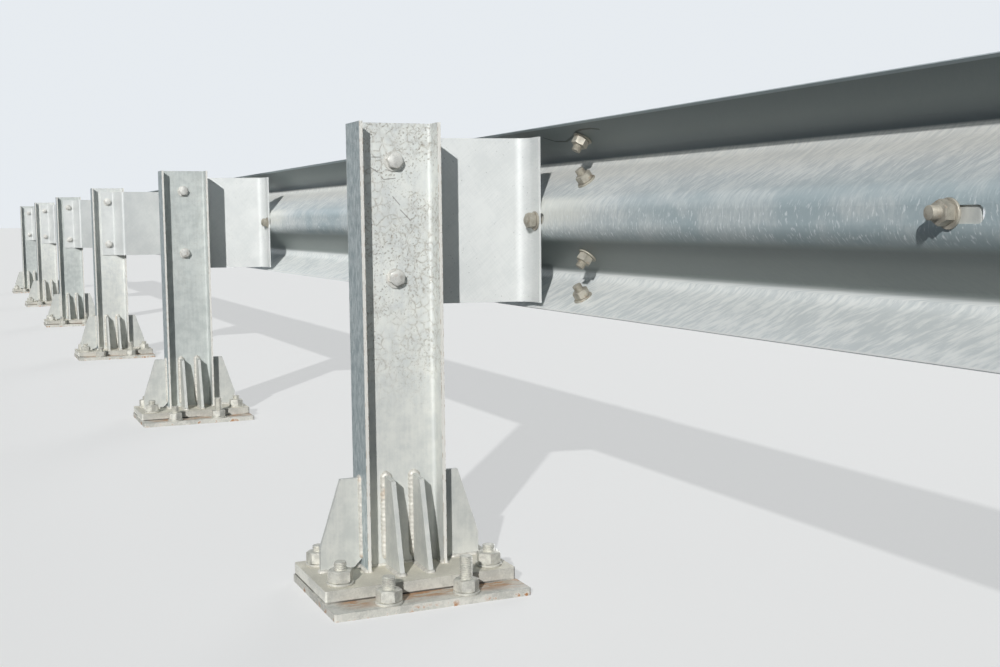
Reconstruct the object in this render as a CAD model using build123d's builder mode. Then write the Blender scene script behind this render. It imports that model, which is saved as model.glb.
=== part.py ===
from build123d import *
import os

os.makedirs("parts", exist_ok=True)

# A W-beam guardrail on base-plated I-section posts, as used along a bridge deck.
# X runs along the rail, +Y is the side away from traffic, Z is up, and the origin is
# under the first anchor plate, at the middle of the rail's first lap.

# Layout along the road
bay_length = 2000.0
bay_count = 6
flipped_from_post = 3
panel_joints = (0, 1, 3, 5, 6)

# Post, a rolled I-section with its web square to the rail and a little before the bay line
post_width = 137.0
flange_width = 74.0
flange_wall = 5.5
web_wall = 5.0
root_radius = 6.0
web_set_back = 28.0
post_top = 759.0

# Plates under the post
base_thickness = 20.0
base_width = 322.0
base_near = 137.0
base_far = 53.0
anchor_thickness = 12.0
anchor_margin = 2.0
anchor_step = 57.0
anchor_near = base_near + anchor_step
anchor_far = base_far + anchor_margin
anchor_width = base_width + 2 * anchor_margin
corner_chamfer = 3.0

# Anchor bolts, 20 mm studs in clearance holes
stud_hole_radius = 11.5
stud_pitch_y = 254.0
stud_near = 104.0
stud_far = 22.0
front_stud_near = 172.0
front_stud_pitch_y = 129.0
front_stud_offset = 5.0

# Stiffeners between the post and its base plate
stiffener_wall = 8.0
stiffener_height = 151.0
gusset_top_reach = 34.0
gusset_foot_reach = 70.0
gusset_knee_height = 40.0
gusset_cope = 17.0
rib_pitch = 49.0
rib_height = 152.0
rib_top_reach = 39.0
rib_foot_reach = 77.0
rib_top_drop = 5.0
rib_cope = 10.0

# W-beam rail
rail_centre = 602.0
rail_height = 311.0
rail_depth = 83.0
rail_wall = 3.0
rail_back = 262.0
crest_height = 97.0
crest_half_flat = 10.0
valley_half_flat = 26.0
crest_radius = 18.0
valley_radius = 31.0
lap_clearance = 0.05

# Rail holes
lap_length = 320.0
splice_pitch_x = 240.0
splice_inner_height = 59.0
splice_outer_height = 134.0
splice_hole_radius = 9.5
slot_height = 19.0
slot_length = 69.0
slot_offset = -10.0
hole_depth = 6 * rail_wall

# Spacer, one bent plate between the web and the rail
spacer_wall = 4.0
spacer_height = 283.0
spacer_drop = 2.5
spacer_centre = rail_centre - spacer_drop
spacer_tab_end = 30.0
spacer_jog_start = 26.0
spacer_jog_end = 54.0
spacer_jog_depth = 82.0
spacer_heel = 43.0
spacer_toe = 7.0
spacer_bend_radius = 9.0
spacer_heel_radius = 28.0
toe_bolt_inset = 7.0
web_bolt_rise = 1.5
web_bolt_height = rail_centre + web_bolt_rise
web_bolt_pitch = 190.0
web_bolt_offset = 1.5
bolt_hole_radius = 8.75

base_bottom = anchor_thickness
post_bottom = base_bottom + base_thickness
half_post = post_width / 2
base_edges = (-base_near, base_far)
anchor_edges = (-anchor_near, anchor_far)
corner_studs = [(x, side * stud_pitch_y / 2) for x in (-stud_near, stud_far) for side in (-1, 1)]
panels = [
    (number % 2, first, last) for number, (first, last) in enumerate(zip(panel_joints, panel_joints[1:]))
]
front_studs = [(-front_stud_near, front_stud_offset + side * front_stud_pitch_y / 2) for side in (-1, 1)]


def post_x(index):
    return index * bay_length


def web_x(index):
    return post_x(index) - web_set_back


def centre_between(edges):
    return (edges[0] + edges[1]) / 2


def save(part, name):
    part.label = name
    export_step(part, f"parts/{name}.step")


def make_anchor_plate(index):
    with BuildPart() as plate:
        with BuildSketch(Plane((post_x(index), 0, 0))):
            with Locations((centre_between(anchor_edges), 0)):
                Rectangle(anchor_near + anchor_far, anchor_width)
            with Locations(*corner_studs, *front_studs):
                Circle(stud_hole_radius, mode=Mode.SUBTRACT)
        extrude(amount=anchor_thickness)
        chamfer(plate.edges().filter_by(Axis.Z).filter_by(GeomType.LINE), corner_chamfer)
    return plate.part


def make_base_plate(index):
    with BuildPart() as plate:
        with BuildSketch(Plane((post_x(index), 0, base_bottom))):
            with Locations((centre_between(base_edges), 0)):
                Rectangle(base_near + base_far, base_width)
            with Locations(*corner_studs):
                Circle(stud_hole_radius, mode=Mode.SUBTRACT)
        extrude(amount=base_thickness)
        chamfer(plate.edges().filter_by(Axis.Z).filter_by(GeomType.LINE), corner_chamfer)
    return plate.part


def web_hole_plane(x):
    return Plane((x, web_bolt_offset, web_bolt_height), x_dir=(0, 1, 0), z_dir=(1, 0, 0))


def make_post(index):
    with BuildPart() as post:
        with BuildSketch(Plane((web_x(index), 0, post_bottom))) as section:
            Rectangle(flange_width, post_width)
            with GridLocations((flange_width + web_wall) / 2, 0, 2, 1):
                Rectangle((flange_width - web_wall) / 2, post_width - 2 * flange_wall, mode=Mode.SUBTRACT)
            columns = section.vertices().group_by(Axis.X)
            fillet([*columns[1], *columns[2]], root_radius)
        extrude(amount=post_top - post_bottom)
        with BuildSketch(web_hole_plane(web_x(index))):
            with GridLocations(1, web_bolt_pitch, 1, 2):
                Circle(bolt_hole_radius)
        extrude(amount=web_wall / 2, both=True, mode=Mode.SUBTRACT)
    return post.part


def make_stiffeners(index):
    gusset_plane = Plane((web_x(index), 0, post_bottom), x_dir=(0, 1, 0), z_dir=(1, 0, 0))
    with BuildPart() as stiffeners:
        with BuildSketch(gusset_plane):
            with BuildLine():
                Polyline(
                    (half_post, gusset_cope),
                    (half_post, stiffener_height),
                    (half_post + gusset_top_reach, stiffener_height),
                    (half_post + gusset_foot_reach, gusset_knee_height),
                    (half_post + gusset_foot_reach, 0),
                    (half_post + gusset_cope, 0),
                    close=True,
                )
            make_face()
            mirror(about=Plane.YZ)
        extrude(amount=stiffener_wall / 2, both=True)
        for side in (-1, 1):
            rib_plane = Plane(
                (web_x(index) - web_wall / 2, side * rib_pitch / 2, post_bottom),
                x_dir=(-1, 0, 0),
                z_dir=(0, 1, 0),
            )
            with BuildSketch(rib_plane):
                with BuildLine():
                    Polyline(
                        (0, rib_cope),
                        (0, rib_height),
                        (rib_top_reach, rib_height - rib_top_drop),
                        (rib_foot_reach, 0),
                        (rib_cope, 0),
                        close=True,
                    )
                make_face()
            extrude(amount=stiffener_wall / 2, both=True)
    return stiffeners.part


def back_sheet_at(index):
    # The front sheet of a lap has no back sheet behind it away from the joints
    return any(layer == 0 and first <= index <= last for layer, first, last in panels)


def make_spacer(index):
    way = -1 if index >= flipped_from_post else 1
    seat = web_x(index) + way * web_wall / 2
    reach = rail_back + (0 if back_sheet_at(index) else rail_wall + lap_clearance)
    half = spacer_wall / 2
    bends = [
        (half, spacer_tab_end),
        (half, -spacer_jog_start),
        (spacer_jog_depth, -spacer_jog_end),
        (spacer_heel, -reach + half),
        (-spacer_toe, -reach + half),
    ]
    radii = [spacer_bend_radius, spacer_bend_radius, spacer_heel_radius]
    with BuildPart() as spacer:
        with BuildSketch(Plane((seat, 0, spacer_centre - spacer_height / 2))):
            with BuildLine() as middle:
                FilletPolyline(*[(way * x, y) for x, y in bends], radius=radii)
            trace(middle.line, spacer_wall)
        extrude(amount=spacer_height)
        with BuildSketch(web_hole_plane(seat)):
            with GridLocations(1, web_bolt_pitch, 1, 2):
                Circle(bolt_hole_radius)
        extrude(amount=way * spacer_wall, mode=Mode.SUBTRACT)
        toe_bolt_x = seat + way * toe_bolt_inset
        toe_hole = Plane((toe_bolt_x, -reach, spacer_centre), x_dir=(-1, 0, 0), z_dir=(0, 1, 0))
        with BuildSketch(toe_hole):
            Circle(bolt_hole_radius)
        extrude(amount=spacer_wall, mode=Mode.SUBTRACT)
    return spacer.part


def rail_slopes():
    # Each sloped wall of the W from back to front, as (height, depth) ends
    near_back = rail_wall / 2
    near_front = rail_depth - rail_wall / 2
    inner = ((valley_half_flat, near_back), (crest_height - crest_half_flat, near_front))
    outer = ((rail_height / 2, near_back), (crest_height + crest_half_flat, near_front))
    return inner, outer


def wall_plane(x, slope, height, side):
    # A plane square to a sloped wall, at the given height above or below the centre
    (back_height, back), (front_height, front) = slope
    depth = back + (front - back) * (height - back_height) / (front_height - back_height)
    normal = (0, front_height - back_height, side * (front - back))
    return Plane((x, -rail_back - depth, rail_centre + side * height), z_dir=normal)


def splice_planes(index):
    inner, outer = rail_slopes()
    columns = [post_x(index) + side * splice_pitch_x / 2 for side in (-1, 1)]
    rows = [(inner, splice_inner_height), (outer, splice_outer_height)]
    spots = [(x, slope, height) for x in columns for slope, height in rows]
    return [wall_plane(*spot, side) for spot in spots for side in (-1, 1)]


def make_panel(layer, first, last):
    inner, outer = rail_slopes()
    nesting = layer * (rail_wall + lap_clearance)
    corners = [outer[0], outer[1], inner[1], inner[0]]
    corners += [(-height, depth) for height, depth in reversed(corners)]
    radii = [crest_radius, crest_radius, valley_radius]
    start = post_x(first) - lap_length / 2
    length = post_x(last) - post_x(first) + lap_length
    slot_columns = [bay_length * half / 2 + slot_offset for half in range(2 * first, 2 * last + 1)]
    with BuildPart() as panel:
        with BuildSketch(Plane((start, -rail_back, rail_centre), x_dir=(0, 1, 0), z_dir=(1, 0, 0))):
            with BuildLine(mode=Mode.PRIVATE) as middle:
                FilletPolyline(*[(-depth, height) for height, depth in corners], radius=radii + radii[::-1])
            sheet = middle.line
            if layer:
                sheet = offset(sheet, nesting, side=Side.RIGHT, closed=False, mode=Mode.PRIVATE)
            trace(sheet, rail_wall)
            Rectangle(rail_back, rail_height, mode=Mode.INTERSECT)
        extrude(amount=length)
        with BuildSketch(Plane((0, -rail_back, rail_centre), z_dir=(0, -1, 0), x_dir=(1, 0, 0))):
            with Locations(*[(x, 0) for x in slot_columns]):
                SlotOverall(slot_length, slot_height)
        extrude(amount=hole_depth / 2, mode=Mode.SUBTRACT)
        with Locations(*splice_planes(first), *splice_planes(last)):
            Cylinder(splice_hole_radius, hole_depth, mode=Mode.SUBTRACT)
    return panel.part


for index in range(bay_count + 1):
    number = index + 1
    save(make_anchor_plate(index), f"anchor_plate_{number}")
    save(make_base_plate(index), f"base_plate_{number}")
    save(make_post(index), f"post_{number}")
    save(make_stiffeners(index), f"stiffeners_{number}")
    save(make_spacer(index), f"spacer_{number}")

for number, (layer, first, last) in enumerate(panels, start=1):
    save(make_panel(layer, first, last), f"rail_panel_{number}")
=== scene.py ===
import math
import random

import bpy
from mathutils import Euler, Matrix, Vector


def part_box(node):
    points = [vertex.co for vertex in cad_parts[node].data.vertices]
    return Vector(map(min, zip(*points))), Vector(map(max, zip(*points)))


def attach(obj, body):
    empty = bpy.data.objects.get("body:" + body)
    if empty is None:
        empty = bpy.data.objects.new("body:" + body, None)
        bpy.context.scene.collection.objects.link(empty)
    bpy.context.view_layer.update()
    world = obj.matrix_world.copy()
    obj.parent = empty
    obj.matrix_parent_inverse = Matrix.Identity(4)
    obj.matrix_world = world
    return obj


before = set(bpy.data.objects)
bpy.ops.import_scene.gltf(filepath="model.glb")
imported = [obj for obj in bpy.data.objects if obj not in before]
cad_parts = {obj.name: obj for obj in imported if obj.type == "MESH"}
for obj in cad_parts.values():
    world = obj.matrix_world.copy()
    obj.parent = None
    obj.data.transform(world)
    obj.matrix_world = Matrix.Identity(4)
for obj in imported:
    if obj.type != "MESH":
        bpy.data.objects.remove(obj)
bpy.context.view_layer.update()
random.seed(11)
print("frame loaded")


# Shader maths written as plain expressions
class Wire:
    def __init__(self, tree, socket):
        self.tree = tree
        self.socket = socket

    def node(self, kind, settings=None, inputs=None, output=0):
        made = self.tree.nodes.new(kind)
        for name, value in (settings or {}).items():
            setattr(made, name, value)
        for name, value in (inputs or {}).items():
            if isinstance(value, Wire):
                self.tree.links.new(value.socket, made.inputs[name])
            else:
                made.inputs[name].default_value = value
        if output is None:
            return [Wire(self.tree, socket) for socket in made.outputs]
        return Wire(self.tree, made.outputs[output])

    def maths(self, operation, *values):
        return self.node("ShaderNodeMath", {"operation": operation}, dict(enumerate(values)))

    def __add__(self, other):
        return self.maths("ADD", self, other)

    def __radd__(self, other):
        return self.maths("ADD", other, self)

    def __sub__(self, other):
        return self.maths("SUBTRACT", self, other)

    def __rsub__(self, other):
        return self.maths("SUBTRACT", other, self)

    def __mul__(self, other):
        return self.maths("MULTIPLY", self, other)

    def __rmul__(self, other):
        return self.maths("MULTIPLY", other, self)

    def size(self):
        return self.maths("ABSOLUTE", self)

    def wrap(self, length):
        # runs from -length / 2 to length / 2 and starts again
        return self.maths("WRAP", self, -length / 2, length / 2)

    def fade(self, low, high):
        # 0 at low and 1 at high, whichever of the two is larger
        settings = {"interpolation_type": "SMOOTHSTEP"}
        return self.node("ShaderNodeMapRange", settings, {"Value": self, "From Min": low, "From Max": high})

    def between(self, under, over):
        return self.node("ShaderNodeMix", {"data_type": "RGBA"}, {0: self, 6: under, 7: over}, 2)

    def axes(self):
        return self.node("ShaderNodeSeparateXYZ", None, {0: self}, None)

    def vector(self, x, y, z):
        return self.node("ShaderNodeCombineXYZ", None, {"X": x, "Y": y, "Z": z})

    def cloud(self, scale, detail=3.0, roughness=0.55, twist=0.0):
        inputs = {
            "Vector": self, "Scale": scale, "Detail": detail, "Roughness": roughness, "Distortion": twist
        }
        return self.node("ShaderNodeTexNoise", None, inputs)

    def cells(self, scale, feature="DISTANCE_TO_EDGE"):
        return self.node("ShaderNodeTexVoronoi", {"feature": feature}, {"Vector": self, "Scale": scale})

    def scaled(self, factor):
        return self.node("ShaderNodeVectorMath", {"operation": "SCALE"}, {0: self, "Scale": factor})

    def bump(self, distance):
        return self.node("ShaderNodeBump", None, {"Height": self, "Distance": distance})


def newMaterial(name, metallic):
    made = bpy.data.materials.new(name)
    made.use_nodes = True
    tree = made.node_tree
    shader = tree.nodes["Principled BSDF"]
    shader.inputs["Metallic"].default_value = metallic
    return made, shader, Wire(tree, tree.nodes.new("ShaderNodeTexCoord").outputs["Object"])


def feed(shader, colour, rough, normal):
    for name, wire in (("Base Color", colour), ("Roughness", rough), ("Normal", normal)):
        wire.tree.links.new(wire.socket, shader.inputs[name])


# In the dictionaries of looks, noise is given as (scale, detail, roughness), and drawn-out noise has one
# scale for each axis. A pair is the two ends of a fade. A share says how much of a layer shows
def drawnOut(axes, scales, detail=3.0, roughness=0.55):
    x, y, z = [axis * scale for axis, scale in zip(axes, scales)]
    return x.vector(x, y, z).cloud(1.0, detail, roughness)


def mixed(parts, shares, base=0.0):
    return sum((part * share for part, share in zip(parts, shares)), base)


# Post: grey zinc with a net of brownish veins and specks, and cream sawn ends on the flanges.
# The net is strongest on the marked post, and every other post is bluer
# The outer faces of the flanges are mixed to a dark, mottled blue-grey, as painted shade and painted sky
# reflection
postFinish = dict(
    metallic=0.14, light=(0.77, 0.78, 0.735, 1), dark=(0.65, 0.67, 0.65, 1), vein=(0.32, 0.28, 0.22, 1),
    plainLight=(0.64, 0.64, 0.595, 1), plainDark=(0.52, 0.53, 0.50, 1), speck=(0.20, 0.15, 0.09, 1),
    cream=(0.76, 0.745, 0.69, 1), rim=(0.34, 0.24, 0.14, 1), paintedFlankShade=(0.25, 0.31, 0.325, 1),
    paintedFlankShadeLight=(0.52, 0.57, 0.57, 1), scratch=(0.26, 0.25, 0.23, 1), blueLight=(0.57, 0.60, 0.575, 1),
    blueDark=(0.44, 0.472, 0.455, 1),
    # noise
    warp=(45.0, 3.0), broad=(6.0, 5.0), mottle=(38.0, 5.0, 0.65), grain=(520.0, 2.0),
    streaks=((160.0, 160.0, 9.0), 3.0), breaks=(150.0, 3.0), patches=(12.0, 2.0), crowd=(15.0, 3.0),
    dots=(260.0, 3.0, 0.6), flankMottle=((150.0, 150.0, 65.0), 5.0, 0.7), rimPatches=(90.0, 4.0), cell=68.0,
    # places and lengths in metres
    spacing=2.0, marked=1.972, middle=0.028, halfDeep=0.037, toe=0.06575, face=0.0685, bend=0.016,
    plainBelow=(0.45, 0.22), veinsAbove=(0.24, 0.46), markedReach=(0.045, 0.042), bluerReach=(0.5, 0.4),
    webReach=(0.012, 0.010), band=0.042, bandReach=(0.030, 0.008), endInsets=(0.0008, 0.0002),
    faceInsets=(0.0006, 0.0002), rimReach=(0.0012, 0.0024), scratchWidth=0.0012, bump=0.0005,
    # fades over the noise
    fineRange=(0.38, 0.62), breakRange=(0.38, 0.62), patchRange=(0.38, 0.56), crowdRange=(0.42, 0.58),
    dotRange=(0.57, 0.64), flankMottleRange=(0.34, 0.66), rimRange=(0.50, 0.60), veinEdge=(0.10, 0.0),
    haloEdge=(0.32, 0.0),
    # shares
    fineShares=(0.55, 0.25, 0.2), plainShare=0.6, bluerShare=0.85, otherPosts=0.25, veinBand=0.10,
    speckBand=0.04, haloShare=0.15, veinShare=0.48, speckShare=0.50, paintedFlankShadeShare=0.9, rimShare=0.55,
    scratchShare=0.8, roughness=0.42, roughShares=(0.14, 0.08), veinRough=0.15, bumpShares=(0.5, 0.8),
    veinBump=0.7, speckBump=0.9,
)
# Scratches on the web of the post nearest the camera, as (across, up) in metres
scratches = (
    ((0.0388, 0.7040), (0.0225, 0.7040)), ((0.0403, 0.6875), (0.0273, 0.6793)),
    ((0.0207, 0.6706), (0.0186, 0.6681)), ((0.0186, 0.6681), (-0.0022, 0.6703)),
    ((0.0037, 0.6410), (-0.0089, 0.6265)), ((-0.0087, 0.6194), (-0.0272, 0.6011)),
)
scratchShape = dict(softEnd=0.001, core=0.3)


def scratched(across, up, start, end, width):
    runAcross, runUp = end[0] - start[0], end[1] - start[1]
    length = math.hypot(runAcross, runUp)
    runAcross, runUp = runAcross / length, runUp / length
    along = (across - start[0]) * runAcross + (up - start[1]) * runUp
    aside = (across - start[0]) * runUp - (up - start[1]) * runAcross
    soft = scratchShape["softEnd"]
    within = along.fade(-soft, soft) * along.fade(length + soft, length - soft)
    return aside.size().fade(width, width * scratchShape["core"]) * within


def postSteel(name, veined):
    look = postFinish
    made, shader, place = newMaterial(name, look["metallic"])
    x, y, z = place.axes()
    broad = place.cloud(*look["broad"])
    mottle = place.cloud(*look["mottle"])
    grain = place.cloud(*look["grain"])
    streaks = drawnOut((x, y, z), *look["streaks"])
    fine = mixed((mottle, broad, streaks), look["fineShares"]).fade(*look["fineRange"])
    tones = ("light", "dark") if veined else ("plainLight", "plainDark")
    colour = fine.between(*[look[tone] for tone in tones])
    height = mixed((grain, mottle), look["bumpShares"])
    rough = mixed((mottle, grain), look["roughShares"], look["roughness"])
    if veined:
        plain = fine.between(look["plainLight"], look["plainDark"])
        colour = (z.fade(*look["plainBelow"]) * look["plainShare"]).between(colour, plain)
        fromMarked = x - look["marked"]
        marked = fromMarked.size().fade(*look["markedReach"])
        bluer = (fromMarked - look["spacing"]).wrap(2 * look["spacing"]).size().fade(*look["bluerReach"])
        blue = fine.between(look["blueLight"], look["blueDark"])
        colour = (bluer * look["bluerShare"]).between(colour, blue)
        upper = z.fade(*look["veinsAbove"]) * (look["otherPosts"] + marked * (1 - look["otherPosts"]))
        breaks = place.cloud(*look["breaks"]).fade(*look["breakRange"])
        bands = (y.size() - look["band"]).size().fade(*look["bandReach"])
        where = (place.cloud(*look["patches"]) + bands * look["veinBand"]).fade(*look["patchRange"])
        warpA = place.cloud(*look["warp"]) * look["bend"]
        warpB = place.vector(y, z, x).cloud(*look["warp"]) * look["bend"]
        net = place.vector(x + warpA, y + warpA, z + warpB).cells(look["cell"])
        veins = net.fade(*look["veinEdge"]) * breaks * where * upper
        halo = net.fade(*look["haloEdge"]) * where * upper
        crowd = (place.cloud(*look["crowd"]) + bands * look["speckBand"]).fade(*look["crowdRange"])
        specks = place.cloud(*look["dots"]).fade(*look["dotRange"]) * crowd * upper
        colour = (halo * look["haloShare"]).between(colour, look["vein"])
        colour = (veins * look["veinShare"]).between(colour, look["vein"])
        colour = (specks * look["speckShare"]).between(colour, look["speck"])
        deep = (x + look["middle"]).wrap(look["spacing"]).size()
        ends = deep.fade(*[look["halfDeep"] - inset for inset in look["endInsets"]])
        # Painted shade and painted sky reflection: the outer faces of the flanges turn dark blue-grey
        paintedFlankShade = y.size().fade(*[look["face"] - inset for inset in look["faceInsets"]]) * (1 - ends)
        rims = (y.size() - look["toe"]).size().fade(*look["rimReach"]) * ends
        flankMottle = drawnOut((x, y, z), *look["flankMottle"]).fade(*look["flankMottleRange"])
        paintedFlankShadeTone = flankMottle.between(look["paintedFlankShade"], look["paintedFlankShadeLight"])
        colour = (paintedFlankShade * look["paintedFlankShadeShare"]).between(colour, paintedFlankShadeTone)
        colour = ends.between(colour, look["cream"])
        rimPatches = place.cloud(*look["rimPatches"]).fade(*look["rimRange"])
        colour = (rims * rimPatches * look["rimShare"]).between(colour, look["rim"])
        onWeb = fromMarked.size().fade(*look["webReach"])
        for start, end in scratches:
            line = scratched(y, z, start, end, look["scratchWidth"]) * onWeb
            colour = (line * look["scratchShare"]).between(colour, look["scratch"])
        height = height - veins * look["veinBump"] - specks * look["speckBump"]
        rough = rough + veins * look["veinRough"]
    feed(shader, colour, rough, height.bump(look["bump"]))
    return made


# Rail: silky zinc wiped in arcs as it left the bath, with painted shade on the walls that face down,
# and paler on the sheets beyond the first lap. Rise is the height over the middle of the rail
railFinish = dict(
    metallic=0.07, light=(0.78, 0.79, 0.76, 1), dark=(0.57, 0.60, 0.60, 1), tick=(0.86, 0.89, 0.89, 1),
    beige=(0.72, 0.69, 0.62, 1), blue=(0.37, 0.45, 0.47, 1), shadeOlive=(0.165, 0.19, 0.18, 1),
    shadeDim=(0.118, 0.150, 0.150, 1), shade=(0.065, 0.085, 0.105, 1), deep=(0.20, 0.25, 0.255, 1),
    cream=(0.82, 0.81, 0.73, 1), lowSheenLight=(0.87, 0.88, 0.85, 1), lowSheenDark=(0.67, 0.70, 0.69, 1),
    rim=(0.84, 0.84, 0.81, 1), edgeReflectionAndShade=(0.42, 0.48, 0.50, 1), stain=(0.02, 0.02, 0.02, 1),
    # noise
    drift=(7.0, 3.0), strokes=((300.0, 80.0, 80.0), 3.0, 0.55), smears=((110.0, 38.0, 38.0), 4.0, 0.6),
    patches=((9.0, 16.0, 16.0), 4.0, 0.5), dashes=((300.0, 110.0, 110.0), 2.0, 0.5), grain=(650.0, 2.0),
    # places and lengths in metres
    centre=0.602, spacing=2.0, lowWall=0.515, lowEdge=0.012, edge=0.1545, edgeDepth=0.0005,
    driftReach=0.06, bow=6.0, lowSlant=0.75, ridgeTop=(0.064, 0.014), ridgeFoot=(-0.060, -0.045),
    deepRise=(-0.006, -0.032), creamFoot=(-0.024, 0.010), creamTop=(0.042, 0.028),
    shoulder=(0.052, 0.078), tickTop=(0.030, 0.005), tickFoot=(-0.036, -0.022), upperWall=(0.094, 0.100),
    lowerShadeRise=(-0.030, -0.042), shadeRise=(0.128, 0.102), lowRim=(-0.1522, -0.1532),
    highRim=(0.1508, 0.1518), besidePost=(0.50, 0.22), nearPost=(0.28, 0.12), beyondLap=(2.0, 2.4),
    stainWidth=0.0016, bump=0.0005,
    # fades over the noise, and over how far a wall faces down
    silkRange=(0.41, 0.59), softRange=(0.40, 0.60), blueRange=(0.60, 0.40), strokeRange=(0.58, 0.70),
    dashRange=(0.57, 0.68), facingDown=(-0.02, -0.20),
    # shares
    silkShares=(0.48, 0.36, 0.16), softShares=(0.75, 0.25), blueBase=0.50, blueVaries=0.42,
    lessBlue=0.6, deepShare=0.45, creamShare=0.6, beigeShare=0.40, strokeShare=0.25, dashShare=0.8,
    tickShare=0.7, downFacingShadeShare=0.9, shadeShare=0.6, stainShare=0.8, rimShare=0.85, edgeShare=0.6,
    paler=0.16, palerShade=0.26, roughness=0.32, roughShares=(0.14, 0.10, 0.10), bumpShares=(0.8, 0.6),
    shadeBump=0.6, lowBump=0.55, grainBump=0.3,
)
# A thin dark line runs past the first lap nut on the upper wall, as (along, up) in metres
stainLine = (
    (2.006, 0.7417), (1.9835, 0.7344), (1.948, 0.7324), (1.909, 0.7374), (1.8735, 0.7439), (1.8505, 0.7455),
    (1.8206, 0.7451), (1.7985, 0.7424),
)


def railSteel():
    look = railFinish
    made, shader, place = newMaterial("rail_zinc", look["metallic"])
    x, y, z = place.axes()
    rise = z - look["centre"]
    low = z.fade(look["lowWall"], look["lowWall"] - look["lowEdge"])
    drift = place.cloud(*look["drift"]) * look["driftReach"]
    arcs = x + rise * rise * look["bow"] * (1 - low) + rise * look["lowSlant"] * low + drift
    strokes = drawnOut((arcs, y, z), *look["strokes"])
    smears = drawnOut((arcs, y, z), *look["smears"])
    patches = drawnOut((x, y, z), *look["patches"])
    grain = place.cloud(*look["grain"])
    silk = mixed((smears, strokes, patches), look["silkShares"])
    colour = silk.fade(*look["silkRange"]).between(look["dark"], look["light"])
    softSilk = mixed((smears, patches), look["softShares"])
    # The lower wall keeps its own soft smears, in paler tones that are a painted sheen of the sun on it
    lowSheenTone = softSilk.fade(*look["softRange"]).between(look["lowSheenDark"], look["lowSheenLight"])
    colour = low.between(colour, lowSheenTone)
    ridge = rise.fade(*look["ridgeTop"]) * rise.fade(*look["ridgeFoot"])
    fromPost = x.wrap(look["spacing"]).size()
    besidePost = fromPost.fade(*look["besidePost"])
    blueness = look["blueBase"] + patches.fade(*look["blueRange"]) * look["blueVaries"]
    blueness = blueness * (1 - besidePost * look["lessBlue"])
    colour = (ridge * blueness).between(colour, look["blue"])
    # Painted shade on the lower part of the ridge, where it turns down
    colour = (ridge * rise.fade(*look["deepRise"]) * look["deepShare"]).between(colour, look["deep"])
    nearPost = fromPost.fade(*look["nearPost"])
    creamy = rise.fade(*look["creamFoot"]) * rise.fade(*look["creamTop"]) * nearPost
    colour = (creamy * look["creamShare"]).between(colour, look["cream"])
    colour = (rise.fade(*look["shoulder"]) * look["beigeShare"]).between(colour, look["beige"])
    bandOfTicks = rise.fade(*look["tickTop"]) * rise.fade(*look["tickFoot"])
    dashes = drawnOut((arcs, y, z), *look["dashes"]).fade(*look["dashRange"]) * bandOfTicks
    ticks = strokes.fade(*look["strokeRange"]) * look["strokeShare"] + dashes * look["dashShare"]
    colour = (ticks * look["tickShare"]).between(colour, look["tick"])
    # Painted shade: walls that face down are mixed to a dark olive, and the upper wall to a bluer painted
    # shade near its crest
    upward = place.node("ShaderNodeNewGeometry", None, None, 1).axes()[2]
    facing = upward.fade(*look["facingDown"])
    upperWallShade = rise.fade(*look["upperWall"]) * facing
    downFacingShade = upperWallShade + rise.fade(*look["lowerShadeRise"]) * (1 - low) * facing
    colour = (downFacingShade * look["downFacingShadeShare"]).between(colour, upperWallShade.between(look["shadeOlive"], look["shadeDim"]))
    shaded = upperWallShade * rise.fade(*look["shadeRise"])
    colour = (shaded * look["shadeShare"]).between(colour, look["shade"])
    for start, end in zip(stainLine, stainLine[1:]):
        line = scratched(x, z, start, end, look["stainWidth"])
        colour = (line * look["stainShare"]).between(colour, look["stain"])
    # Painted highlight: a pale strip along the lower edge. Painted sky reflection: a blue-grey strip along
    # the top edge. Painted shade: the same blue-grey on the bottom end face
    colour = (rise.fade(*look["lowRim"]) * look["rimShare"]).between(colour, look["rim"])
    colour = (rise.fade(*look["highRim"]) * look["rimShare"]).between(colour, look["edgeReflectionAndShade"])
    under = rise.fade(-look["edge"], -look["edge"] - look["edgeDepth"])
    colour = (under * look["edgeShare"]).between(colour, look["edgeReflectionAndShade"])
    # Sheets beyond the first lap are paler, and the painted shade on their downward walls is lightened more
    beyond = x.fade(*look["beyondLap"])
    colour = colour.scaled(1 + beyond * (look["paler"] + downFacingShade * look["palerShade"]))
    rough = mixed((smears, strokes, patches), look["roughShares"], look["roughness"])
    marks = mixed((strokes, smears), look["bumpShares"])
    marks = marks * (1 - downFacingShade * look["shadeBump"] - low * look["lowBump"])
    height = marks + grain * look["grainBump"]
    feed(shader, colour, rough, height.bump(look["bump"]))
    return made


# Spacer: smoother sheet with faint crossed hairlines
spacerFinish = dict(
    metallic=0.13, light=(0.70, 0.71, 0.69, 1), dark=(0.63, 0.645, 0.63, 1), speck=(0.33, 0.34, 0.33, 1),
    slantLean=0.9, slant=((380.0, 18.0, 60.0), 4.0, 0.6), crossLean=0.7, cross=((420.0, 22.0, 60.0), 3.0),
    broad=(16.0, 5.0, 0.6), grain=(520.0, 2.0), specks=(210.0, 1.0), speckRange=(0.72, 0.77),
    speckShare=0.5, silkShares=(0.3, 0.2, 0.5), silkRange=(0.40, 0.60), roughness=0.36,
    roughShares=(0.10, 0.12), bumpShares=(0.5, 0.4, 0.35), bump=0.0003,
)


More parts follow.
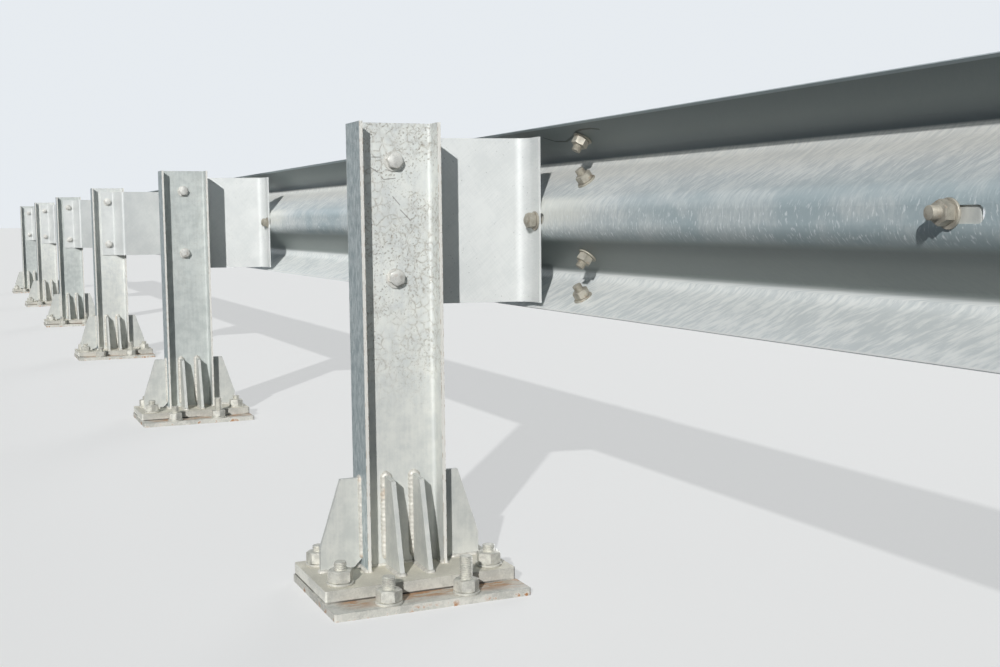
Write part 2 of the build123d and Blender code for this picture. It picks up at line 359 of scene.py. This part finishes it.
def spacerSteel():
    look = spacerFinish
    made, shader, place = newMaterial("spacer_zinc", look["metallic"])
    x, y, z = place.axes()
    slant = drawnOut((y * look["slantLean"] + z, y - z, x), *look["slant"])
    cross = drawnOut((y - z * look["crossLean"], y + z, x), *look["cross"])
    broad = place.cloud(*look["broad"])
    grain = place.cloud(*look["grain"])
    specks = place.cloud(*look["specks"]).fade(*look["speckRange"])
    silk = mixed((slant, cross, broad), look["silkShares"])
    colour = silk.fade(*look["silkRange"]).between(look["dark"], look["light"])
    colour = (specks * look["speckShare"]).between(colour, look["speck"])
    rough = mixed((slant, broad), look["roughShares"], look["roughness"])
    height = mixed((slant, cross, grain), look["bumpShares"])
    feed(shader, colour, rough, height.bump(look["bump"]))
    return made


# Plates: dull beige-grey zinc, with rust in front of the upper plate and along the lower edges
# On the lower plate, faces are lightened or darkened by the way they face, as painted light and shade, and a
# painted shadow runs along its foot
plateFinish = dict(
    metallic=0.06, light=(0.67, 0.655, 0.585, 1), dark=(0.51, 0.50, 0.45, 1), crust=(0.80, 0.77, 0.70, 1),
    rust=(0.44, 0.175, 0.035, 1), tan=(0.48, 0.37, 0.25, 1), oldRust=(0.24, 0.12, 0.05, 1),
    shadowGap=(0.06, 0.05, 0.04, 1), warm=(0.86, 0.78, 0.60, 1),
    # noise
    broad=(15.0, 5.0, 0.6), grain=(340.0, 3.0), lips=(70.0, 4.0, 0.65),
    streaks=((90.0, 24.0, 60.0), 5.0, 0.6), wetPatches=(7.0, 2.0), footPatches=(13.0, 2.0),
    shadowGapPatches=(5.0, 1.0),
    # places and lengths in metres
    spacing=2.0, strip=0.1655, stripReach=(0.036, 0.028), stripNear=(-0.026, 0.022),
    stripSide=(0.152, 0.118), footRise=(0.0115, 0.003), crustRise=(0.030, 0.0), shadowGapRise=(0.0152, 0.0140),
    bump=0.0007,
    # fades over the noise, and over the way that a face looks
    toneRange=(0.40, 0.60), streakRange=(0.42, 0.56), wetRange=(0.36, 0.50), footLips=(0.53, 0.62),
    footRange=(0.44, 0.54), crustLips=(0.44, 0.58), tanLips=(0.36, 0.56), oldLips=(0.64, 0.72),
    shadowGapRange=(0.34, 0.42), facing=(0.5, 0.8), facingAway=(-0.5, -0.8),
    # shares
    toneShares=(0.7, 0.3), crustShare=0.7, tanShare=0.55, wetShare=0.8, footShare=0.9, warmShare=0.35,
    frontPaintedShade=-0.17, sidePaintedLight=0.45, shadowGapShare=0.92, roughness=0.56, roughShares=(0.15, 0.12),
    bumpShares=(0.6, 1.4, 0.8),
)


def plateSteel(name, rustiness):
    look = plateFinish
    made, shader, place = newMaterial(name, look["metallic"])
    x, y, z = place.axes()
    broad = place.cloud(*look["broad"])
    grain = place.cloud(*look["grain"])
    tone = mixed((broad, grain), look["toneShares"])
    colour = tone.fade(*look["toneRange"]).between(look["light"], look["dark"])
    lips = place.cloud(*look["lips"])
    inFront = (x + look["strip"]).wrap(look["spacing"])
    strip = inFront.size().fade(*look["stripReach"]) * inFront.fade(*look["stripNear"])
    strip = strip * y.fade(*look["stripSide"])
    streaky = drawnOut((x, y, z), *look["streaks"]).fade(*look["streakRange"])
    wet = strip * streaky * place.cloud(*look["wetPatches"]).fade(*look["wetRange"])
    footPatches = place.cloud(*look["footPatches"]).fade(*look["footRange"])
    foot = z.fade(*look["footRise"]) * lips.fade(*look["footLips"]) * footPatches
    crust = lips.fade(*look["crustLips"]) * z.fade(*look["crustRise"])
    tanned = strip * lips.fade(*look["tanLips"]) * rustiness
    colour = (crust * look["crustShare"]).between(colour, look["crust"])
    colour = (tanned * look["tanShare"]).between(colour, look["tan"])
    colour = (wet * rustiness * look["wetShare"]).between(colour, look["rust"])
    colour = (foot * rustiness * look["footShare"]).between(colour, look["rust"])
    colour = (foot * lips.fade(*look["oldLips"]) * rustiness).between(colour, look["oldRust"])
    if not rustiness:
        ahead, aside, above = place.node("ShaderNodeNewGeometry", None, None, 1).axes()
        # Upward faces are mixed to a warmer, paler tone
        colour = (above.fade(*look["facing"]) * look["warmShare"]).between(colour, look["warm"])
        # Painted light and shade: faces towards -x are darkened and faces towards +y are lightened
        paintedLightGains = (look["frontPaintedShade"], look["sidePaintedLight"])
        lit = (ahead.fade(*look["facingAway"]), aside.fade(*look["facing"]))
        colour = colour.scaled(mixed(lit, paintedLightGains, 1))
        # Painted shadow: a dark line along the foot of the plate, where the gap under its edge lies in shade
        shadowGap = z.fade(*look["shadowGapRise"]) * place.cloud(*look["shadowGapPatches"]).fade(*look["shadowGapRange"])
        colour = (shadowGap * look["shadowGapShare"]).between(colour, look["shadowGap"])
    rough = mixed((broad, grain), look["roughShares"], look["roughness"])
    height = mixed((grain, lips, broad), look["bumpShares"])
    feed(shader, colour, rough, height.bump(look["bump"]))
    return made


# Bolts and welds: plain zinc in two tones, with small brown stains
fastenerFinish = dict(
    metallic=0.35, broad=(75.0, 4.0), grain=(900.0, 2.0), stains=(120.0, 3.0), stainRange=(0.58, 0.70),
    dull=0.70, toneShares=(0.7, 0.3), toneRange=(0.38, 0.62), stain=(0.28, 0.16, 0.08, 1),
    roughness=0.44, roughShares=(0.16, 0.1), grainBump=0.5, bump=0.0002,
)
weldFinish = dict(
    metallic=0.2, broad=(110.0, 4.0), stains=(40.0, 3.0), stainRange=(0.60, 0.70), toneRange=(0.36, 0.64),
    light=(0.66, 0.64, 0.58, 1), dark=(0.52, 0.50, 0.45, 1), stain=(0.46, 0.28, 0.14, 1), stainShare=0.3,
    roughness=0.42, roughShare=0.2, bump=0.0006,
)


def fastenerSteel(name, tone, stained):
    look = fastenerFinish
    made, shader, place = newMaterial(name, look["metallic"])
    broad = place.cloud(*look["broad"])
    grain = place.cloud(*look["grain"])
    stain = place.cloud(*look["stains"]).fade(*look["stainRange"])
    dull = tuple(part * look["dull"] for part in tone[:3]) + (1,)
    colour = mixed((broad, grain), look["toneShares"]).fade(*look["toneRange"]).between(tone, dull)
    colour = (stain * stained).between(colour, look["stain"])
    rough = mixed((broad, grain), look["roughShares"], look["roughness"])
    feed(shader, colour, rough, (grain * look["grainBump"] + broad).bump(look["bump"]))
    return made


def weldMetal():
    look = weldFinish
    made, shader, place = newMaterial("weld_zinc", look["metallic"])
    broad = place.cloud(*look["broad"])
    stain = place.cloud(*look["stains"]).fade(*look["stainRange"])
    colour = broad.fade(*look["toneRange"]).between(look["light"], look["dark"])
    colour = (stain * look["stainShare"]).between(colour, look["stain"])
    feed(shader, colour, look["roughness"] + broad * look["roughShare"], broad.bump(look["bump"]))
    return made


finishes = dict(
    post=postSteel("post_zinc", True), stiffeners=postSteel("stiffener_zinc", False),
    rail=railSteel(), spacer=spacerSteel(),
    anchor=plateSteel("anchor_zinc", 1.0), base=plateSteel("base_zinc", 0.0),
    bolt=fastenerSteel("bolt_zinc", (0.46, 0.43, 0.36, 1), 0.35),
    head=fastenerSteel("head_zinc", (0.72, 0.71, 0.665, 1), 0.25),
    stud=fastenerSteel("stud_zinc", (0.69, 0.675, 0.605, 1), 0.2),
    weld=weldMetal(),
)
nodeFinish = dict(
    anchor_plate="anchor", base_plate="base", post="post", stiffeners="stiffeners", spacer="spacer",
    rail_panel="rail",
)
for name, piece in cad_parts.items():
    kind = name.rsplit("_", 1)[0]
    piece.data.materials.clear()
    piece.data.materials.append(finishes[nodeFinish[kind]])
print("finishes on the steel")


# Small pieces are drawn into drafts, and each draft becomes one mesh
class Draft:
    def __init__(self):
        self.points = []
        self.faces = []

    def rings(self, rings, place, capped=False, closed=True):
        start = len(self.points)
        count = len(rings[0])
        for ring in rings:
            self.points += [place @ point for point in ring]
        for row in range(len(rings) - 1):
            for column in range(count if closed else count - 1):
                here = start + row * count + column
                beside = start + row * count + (column + 1) % count
                self.faces.append((here, beside, beside + count, here + count))
        if capped:
            last = start + (len(rings) - 1) * count
            self.faces.append(tuple(start + column for column in reversed(range(count))))
            self.faces.append(tuple(last + column for column in range(count)))

    def make(self, name, material, smoothAngle=35.0):
        mesh = bpy.data.meshes.new(name)
        mesh.from_pydata(self.points, [], self.faces)
        mesh.validate()
        mesh.polygons.foreach_set("use_smooth", [True] * len(mesh.polygons))
        mesh.set_sharp_from_angle(angle=math.radians(smoothAngle))
        mesh.materials.append(material)
        piece = bpy.data.objects.new(name, mesh)
        bpy.context.collection.objects.link(piece)
        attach(piece, "root")
        return piece


# How small pieces are cut: lengths are shares of the flats, the thickness or the pitch
cut = dict(
    round=32, hexagon=48, hexRim=0.97, chamfer=0.62, chamferStep=0.45, washerEdge=0.2, threadRound=24,
    threadRows=8, threadDepth=0.62, flank=1.5, leadIn=0.5, leadDepth=0.6, domeRows=7, domeTop=0.6,
    domeRim=0.18,
)


def circle(radius, height, count):
    turn = 2 * math.pi / count
    return [Vector((radius * math.cos(turn * k), radius * math.sin(turn * k), height)) for k in range(count)]


def standing(point, normal, spin=0.0):
    facing = Vector(normal).to_track_quat("Z", "Y").to_matrix().to_4x4()
    return Matrix.Translation(point) @ facing @ Matrix.Rotation(spin, 4, "Z")


def hexBody(draft, place, flats, height, bothEnds):
    count = cut["hexagon"]
    corner = flats / 2 / math.cos(math.pi / 6)
    rim = flats / 2 * cut["hexRim"]
    drop = (corner - flats / 2) * cut["chamfer"]
    step = drop * cut["chamferStep"]
    rings = []
    for level in (0, step, drop, height - drop, height - step, height):
        fromEnd = min(level if bothEnds else height, height - level)
        limit = rim + (corner - rim) * min(1, fromEnd / drop)
        ring = []
        for k in range(count):
            angle = 2 * math.pi * k / count
            toFlat = (angle % (math.pi / 3)) - math.pi / 6
            reach = min(flats / 2 / math.cos(toFlat), limit)
            ring.append(Vector((reach * math.cos(angle), reach * math.sin(angle), level)))
        rings.append(ring)
    draft.rings(rings, place, capped=True)


def washer(draft, place, radius, hole, thick):
    edge = thick * cut["washerEdge"]
    profile = [
        (hole, 0), (radius - edge, 0), (radius, edge),
        (radius, thick - edge), (radius - edge, thick), (hole, thick),
    ]
    draft.rings([circle(reach, level, cut["round"]) for reach, level in profile], place)


def thread(draft, place, radius, pitch, length):
    columns = cut["threadRound"]
    rows = max(2, round(length / pitch * cut["threadRows"]))
    rings = []
    for row in range(rows + 1):
        level = length * row / rows
        toEnd = (length - level) / pitch
        ring = []
        for k in range(columns):
            phase = (level / pitch - k / columns) % 1.0
            reach = radius - min(cut["threadDepth"], cut["flank"] * abs(phase - 0.5)) * pitch
            if toEnd < cut["leadIn"]:
                reach = min(reach, radius - cut["leadDepth"] * pitch * (cut["leadIn"] - toEnd))
            angle = 2 * math.pi * k / columns
            ring.append(Vector((reach * math.cos(angle), reach * math.sin(angle), level)))
        rings.append(ring)
    draft.rings(rings, place, capped=True)


def domeHead(draft, place, radius, height):
    rings = [circle(radius, 0, cut["round"])]
    for row in range(cut["domeRows"]):
        angle = math.pi / 2 * row / (cut["domeRows"] - cut["domeTop"])
        level = height * (cut["domeRim"] + (1 - cut["domeRim"]) * math.sin(angle))
        rings.append(circle(radius * math.cos(angle), level, cut["round"]))
    draft.rings(rings, place, capped=True)


m20 = dict(
    radius=0.0106, pitch=0.0030, flats=0.036, nut=0.019, washer=0.0218, washerThick=0.004, sag=0,
    play=0.0004, sink=0.001,
)
m16 = dict(
    radius=0.008, pitch=0.002, flats=0.024, nut=0.013, washer=0.0164, washerThick=0.003, head=0.010,
    sag=0.001, play=0.0004, sink=0.001,
)


def washerOn(draft, point, normal, bolt):
    # A washer on a level bolt hangs a little below its middle
    normal = Vector(normal)
    hang = Vector((0, 0, -bolt["sag"]))
    place = standing(point + hang - normal * hang.dot(normal), normal)
    washer(draft, place, bolt["washer"], bolt["radius"] + bolt["play"], bolt["washerThick"])


def nutOn(draft, point, normal, bolt, tail):
    place = standing(point, normal, random.uniform(0, math.pi / 3))
    washerOn(draft, point, normal, bolt)
    up = place @ Matrix.Translation((0, 0, bolt["washerThick"]))
    hexBody(draft, up, bolt["flats"], bolt["nut"], True)
    up = up @ Matrix.Translation((0, 0, bolt["nut"] - bolt["sink"]))
    thread(draft, up, bolt["radius"], bolt["pitch"], tail + bolt["sink"])


def headOn(draft, point, normal, bolt):
    place = standing(point, normal, random.uniform(0, math.pi / 3))
    washerOn(draft, point, normal, bolt)
    up = place @ Matrix.Translation((0, 0, bolt["washerThick"]))
    hexBody(draft, up, bolt["flats"], bolt["head"], False)


# The web stands a little before the bay line, and the first three posts have the spacer behind it
web = dict(
    setBack=0.028, half=0.0025, offset=0.0015, pitch=0.190, centre=0.6035, spacerWall=0.004, flippedFrom=4,
    toe=0.007, toeHeight=0.5995, shank=0.0065, shankRound=16, tail=0.009, toeTail=0.003, lapTail=0.010,
    bayTail=0.012, bayReach=0.004,
)

# Studs in the plates under each post; tails are in the order far and near on each side
studs = dict(
    near=-0.104, far=0.022, side=0.127, frontX=-0.172, frontSide=0.0645, frontShift=0.005,
    tails=((0.010, 0.013), (0.009, 0.012)), frontTails=(0.020, 0.037),
)
postCount = 7


def postPlace(number):
    low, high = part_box(f"post_{number}")
    return (low.x + high.x) / 2 + web["setBack"]


for number in range(1, postCount + 1):
    draft = Draft()
    x = postPlace(number)
    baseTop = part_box(f"base_plate_{number}")[1].z
    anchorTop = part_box(f"anchor_plate_{number}")[1].z
    for side, tails in zip((1, -1), studs["tails"]):
        for along, tail in zip((studs["far"], studs["near"]), tails):
            nutOn(draft, Vector((x + along, side * studs["side"], baseTop)), (0, 0, 1), m20, tail)
    for side, tail in zip((1, -1), studs["frontTails"]):
        across = studs["frontShift"] + side * studs["frontSide"]
        nutOn(draft, Vector((x + studs["frontX"], across, anchorTop)), (0, 0, 1), m20, tail)
    draft.make(f"anchor_nuts_{number}", finishes["stud"])
print("studs and nuts at the feet")


# Rail section, as its sheets lie behind one another
rail = dict(
    centre=0.602, height=0.311, depth=0.083, wall=0.003, gap=0.00005, back=0.262, crest=0.097,
    crestFlat=0.010, valleyFlat=0.026, columns=0.240, inner=0.059, outer=0.134, joints=(2, 4, 6),
    backOnlyPosts=(1, 5), backOnlyBays=(1, 4, 5), plateWidth=0.078, plateHeight=0.027, plateThick=0.004,
    plateCorner=0.003, plateSteps=3, plateEdge=0.8, plateTop=0.985, headRadius=0.0165, headHeight=0.008,
    bayBoltX=1.003, bayBoltZ=0.604,
)


def railFront(backOnly):
    return -rail["back"] - rail["wall"] - (0 if backOnly else rail["wall"] + rail["gap"])


def slotPlate(draft, x, y):
    halfWide, halfHigh, corner = rail["plateWidth"] / 2, rail["plateHeight"] / 2, rail["plateCorner"]
    outline = []
    steps = rail["plateSteps"]
    for quarter, (side, up) in enumerate(((1, 1), (-1, 1), (-1, -1), (1, -1))):
        for step in range(steps + 1):
            angle = math.pi / 2 * (quarter + step / steps)
            outline.append((
                side * (halfWide - corner) + corner * math.cos(angle),
                up * (halfHigh - corner) + corner * math.sin(angle),
            ))
    thick = rail["plateThick"]
    levels = ((0, 1.0), (thick * rail["plateEdge"], 1.0), (thick, rail["plateTop"]))
    rings = [[Vector((a * scale, b * scale, level)) for a, b in outline] for level, scale in levels]
    place = Matrix.Translation((x, y, rail["centre"])) @ Matrix.Rotation(math.pi / 2, 4, "X")
    draft.rings(rings, place, capped=True)


slotPlates = Draft()


def railHead(draft, x, y):
    slotPlate(slotPlates, x, y)
    top = Vector((x, y - rail["plateThick"], rail["centre"]))
    domeHead(draft, standing(top, (0, -1, 0)), rail["headRadius"], rail["headHeight"])


def shank(draft, start, length):
    ends = [circle(web["shank"], level, web["shankRound"]) for level in (0, length)]
    draft.rings(ends, standing(start, (0, 1, 0)), capped=True)


# Bolts through the web, and through the spacer's toe into the rail
webHeads = Draft()
for number in range(1, postCount + 1):
    draft = Draft()
    x = postPlace(number)
    flipped = number >= web["flippedFrom"]
    middle = x - web["setBack"]
    near = middle - web["half"] - (web["spacerWall"] if flipped else 0)
    far = middle + web["half"] + (0 if flipped else web["spacerWall"])
    for side in (-1, 1):
        level = web["centre"] + side * web["pitch"] / 2
        headOn(webHeads, Vector((near, web["offset"], level)), (-1, 0, 0), m16)
        nutOn(draft, Vector((far, web["offset"], level)), (1, 0, 0), m16, web["tail"])
    toeX = middle + (-1 if flipped else 1) * (web["half"] + web["toe"])
    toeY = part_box(f"spacer_{number}")[0].y + web["spacerWall"]
    nutOn(draft, Vector((toeX, toeY, web["toeHeight"])), (0, 1, 0), m16, web["toeTail"])
    front = railFront(number in rail["backOnlyPosts"])
    shank(draft, Vector((toeX, front, web["toeHeight"])), toeY - front)
    railHead(draft, toeX, front)
    draft.make(f"post_bolts_{number}", finishes["bolt"])
webHeads.make("web_bolt_heads", finishes["head"])
print("post bolts")


# Lap bolts on the sloped walls of the rail, and one bolt in each mid-bay slot
def railWall(which, level, side):
    nearBack = rail["wall"] / 2
    nearFront = rail["depth"] - rail["wall"] / 2
    if which == "inner":
        back, front = (rail["valleyFlat"], nearBack), (rail["crest"] - rail["crestFlat"], nearFront)
    else:
        back, front = (rail["height"] / 2, nearBack), (rail["crest"] + rail["crestFlat"], nearFront)
    depth = back[1] + (front[1] - back[1]) * (level - back[0]) / (front[0] - back[0])
    lean = side * (front[1] - back[1]) * (1 if which == "inner" else -1)
    point = Vector((0, -rail["back"] - depth, rail["centre"] + side * level))
    return point, Vector((0, abs(front[0] - back[0]), lean)).normalized()


for number in rail["joints"]:
    draft = Draft()
    for column in (-1, 1):
        for which in ("inner", "outer"):
            for side in (-1, 1):
                point, normal = railWall(which, rail[which], side)
                point.x = postPlace(number) + column * rail["columns"] / 2
                nutOn(draft, point + normal * rail["wall"] / 2, normal, m16, web["lapTail"])
                # the head lies under the second sheet of the lap
                under = point - normal * (rail["wall"] * 1.5 + rail["gap"])
                domeHead(draft, standing(under, -normal), rail["headRadius"], rail["headHeight"])
    draft.make(f"lap_bolts_{number}", finishes["bolt"])

for number in range(1, postCount):
    draft = Draft()
    x = postPlace(number) + rail["bayBoltX"]
    front = railFront(number in rail["backOnlyBays"])
    place = Vector((x, front + rail["wall"], rail["bayBoltZ"]))
    nutOn(draft, place, (0, 1, 0), m16, web["bayTail"])
    shank(draft, Vector((x, front, rail["bayBoltZ"])), rail["wall"] + web["bayReach"])
    railHead(draft, x, front)
    draft.make(f"bay_bolt_{number}", finishes["bolt"])
# The slot plates take the darker stiffener finish, which paints the shade they lie in behind the slots
slotPlates.make("slot_plates", finishes["stiffeners"])
print("rail bolts")


# Weld beads between the post, its stiffeners and the base plate
weld = dict(
    radius=0.0048, step=0.0024, sides=10, ribScale=1.3, postScale=0.8, smoothing=3, smoothAngle=60.0,
    lump=0.16, firstLump=(0.9, 1.1), settle=0.35, ripple=0.10, waves=2.1, start=0.0006,
    aside=(0.43, 0.79, 0.44),
    # where the beads run
    foot=0.032, webNear=-0.0305, webFar=-0.0255, root=0.007, flange=0.0685, inside=0.063,
    gussetNear=-0.032, gussetFar=-0.024, gussetTop=0.183, gussetCope=0.017, gussetFoot=0.1385,
    ribPitch=0.049, ribHalf=0.004, ribTop=0.184, ribCope=0.010, ribFoot=-0.1075, postNear=-0.065,
    postFar=0.009,
)


def bead(draft, corners, scale=1.0):
    radius = weld["radius"] * scale
    points = []
    for first, last in zip(corners, corners[1:]):
        first, last = Vector(first), Vector(last)
        count = max(2, round((last - first).length / weld["step"]))
        points += [first.lerp(last, k / count) for k in range(count)]
    points.append(Vector(corners[-1]))
    for _ in range(weld["smoothing"]):
        middle = [(a + b * 2 + c) / 4 for a, b, c in zip(points, points[1:], points[2:])]
        points = [points[0], *middle, points[-1]]
    lump = random.uniform(*weld["firstLump"])
    rings = []
    for k, point in enumerate(points):
        ahead = (points[min(k + 1, len(points) - 1)] - points[max(k - 1, 0)]).normalized()
        lump += (random.uniform(1 - weld["lump"], 1 + weld["lump"]) - lump) * weld["settle"]
        toEnd = min(k, len(points) - 1 - k) * weld["step"]
        taper = math.sqrt(min(1.0, (toEnd + weld["start"]) / radius))
        reach = radius * lump * taper * (1 + weld["ripple"] * math.sin(k * weld["waves"]))
        across = ahead.cross(Vector(weld["aside"])).normalized()
        beside = ahead.cross(across)
        spokes = circle(reach, 0, weld["sides"])
        rings.append([point + across * spoke.x + beside * spoke.y for spoke in spokes])
    draft.rings(rings, Matrix.Identity(4), capped=True)


for number in range(1, postCount + 1):
    draft = Draft()
    x = postPlace(number)
    foot, webNear, webFar = weld["foot"], x + weld["webNear"], x + weld["webFar"]
    postNear, postFar = x + weld["postNear"], x + weld["postFar"]
    for side in (-1, 1):
        middle = side * weld["ribPitch"] / 2
        left, right = middle + weld["ribHalf"], middle - weld["ribHalf"]
        low, top = foot + weld["ribCope"], weld["ribTop"]
        bead(
            draft,
            [(webNear, left, low), (webNear, left, top), (webNear, right, top), (webNear, right, low)],
            weld["ribScale"],
        )
        near, back = x + weld["ribFoot"], webNear - weld["ribCope"]
        bead(draft, [(back, left, foot), (near, left, foot), (near, right, foot), (back, right, foot)])
        flange, end, inside = side * weld["flange"], side * weld["gussetFoot"], side * weld["inside"]
        near, far = x + weld["gussetNear"], x + weld["gussetFar"]
        low, cope = foot + weld["gussetCope"], side * (weld["flange"] + weld["gussetCope"])
        top = weld["gussetTop"]
        bead(draft, [(near, flange, low), (near, flange, top), (far, flange, top), (far, flange, low)])
        bead(draft, [(near, cope, foot), (near, end, foot), (far, end, foot), (far, cope, foot)])
        bead(draft, [(postNear, flange, foot), (postFar, flange, foot)])
        bead(draft, [(postNear, inside, foot), (webNear - weld["root"], inside, foot)], weld["postScale"])
        bead(draft, [(webFar + weld["root"], inside, foot), (postFar, inside, foot)], weld["postScale"])
    half = weld["inside"] - weld["root"]
    for face in (webNear, webFar):
        bead(draft, [(face, -half, foot), (face, half, foot)], weld["postScale"])
    draft.make(f"welds_{number}", finishes["weld"], weld["smoothAngle"])
print("welds")


# Floor, light and camera
stage = dict(
    floor=(0.15, 0.15, 0.148, 1), paint=(0.80, 0.80, 0.79, 1), seen=(0.92, 0.92, 0.91, 1), glow=0.55,
    sky=(0.60, 0.80, 1.0, 1), back=(0.84, 0.88, 0.92, 1), size=400.0, middle=(6, 0, 0), roughness=0.9,
)


def seenRays(tree):
    path = tree.nodes.new("ShaderNodeLightPath").outputs
    kinds = ("Camera", "Glossy", "Transmission")
    camera, glossy, through = [Wire(tree, path[f"Is {kind} Ray"]) for kind in kinds]
    return camera.maths("MAXIMUM", camera.maths("MAXIMUM", camera, glossy), through)


def makeStage():
    bpy.ops.mesh.primitive_plane_add(size=stage["size"], location=stage["middle"])
    floor = bpy.context.object
    floor.name = "floor"
    made = bpy.data.materials.new("floor_paint")
    made.use_nodes = True
    tree = made.node_tree
    paint = tree.nodes["Principled BSDF"]
    paint.inputs["Roughness"].default_value = stage["roughness"]
    rays = Wire(tree, tree.nodes.new("ShaderNodeLightPath").outputs["Is Camera Ray"])
    tree.links.new(rays.between(stage["floor"], stage["paint"]).socket, paint.inputs["Base Color"])
    glow = rays.node("ShaderNodeEmission", None, {"Color": stage["seen"]})
    inputs = {0: rays * stage["glow"], 1: Wire(tree, paint.outputs[0]), 2: glow}
    shown = rays.node("ShaderNodeMixShader", None, inputs)
    tree.links.new(shown.socket, tree.nodes["Material Output"].inputs["Surface"])
    floor.data.materials.append(made)


lights = dict(
    key=dict(strength=3.3, softness=0.8, toward=(-1.0, 0.68, 0.52)),
    fill=dict(strength=1.8, softness=30.0, toward=(1.0, -0.9, 0.2)),
    world=0.15, seen=0.95,
)


def makeLights():
    for name in ("key", "fill"):
        look = lights[name]
        lamp = bpy.data.lights.new(name, "SUN")
        lamp.energy = look["strength"]
        lamp.angle = math.radians(look["softness"])
        holder = bpy.data.objects.new(name, lamp)
        holder.rotation_euler = Vector(look["toward"]).to_track_quat("Z", "Y").to_euler()
        bpy.context.collection.objects.link(holder)
    world = bpy.data.worlds.new("studio")
    bpy.context.scene.world = world
    world.use_nodes = True
    tree = world.node_tree
    background = tree.nodes["Background"]
    seen = seenRays(tree)
    tree.links.new(seen.between(stage["sky"], stage["back"]).socket, background.inputs["Color"])
    strength = lights["world"] + seen * (lights["seen"] - lights["world"])
    tree.links.new(strength.socket, background.inputs["Strength"])


camera = dict(
    place=(0.00668, 0.67016, 0.60267), yaw=-23.522, pitch=5.189, roll=-0.633, focalPixels=1263.018,
    photoWidth=1000.0, sensor=36.0, nearest=0.02, farthest=600,
)


def makeCamera():
    made = bpy.data.cameras.new("camera")
    made.sensor_width = camera["sensor"]
    made.lens = camera["focalPixels"] / camera["photoWidth"] * camera["sensor"]
    made.clip_start = camera["nearest"]
    made.clip_end = camera["farthest"]
    holder = bpy.data.objects.new("camera", made)
    bpy.context.collection.objects.link(holder)
    turn = Euler((math.radians(90 - camera["pitch"]), 0, math.radians(camera["yaw"] - 90))).to_matrix()
    roll = Matrix.Rotation(math.radians(camera["roll"]), 3, "Z")
    holder.matrix_world = Matrix.Translation(camera["place"]) @ (turn @ roll).to_4x4()
    bpy.context.scene.camera = holder


makeStage()
makeLights()
makeCamera()
bpy.context.scene.view_settings.view_transform = "Standard"
print("stage ready")
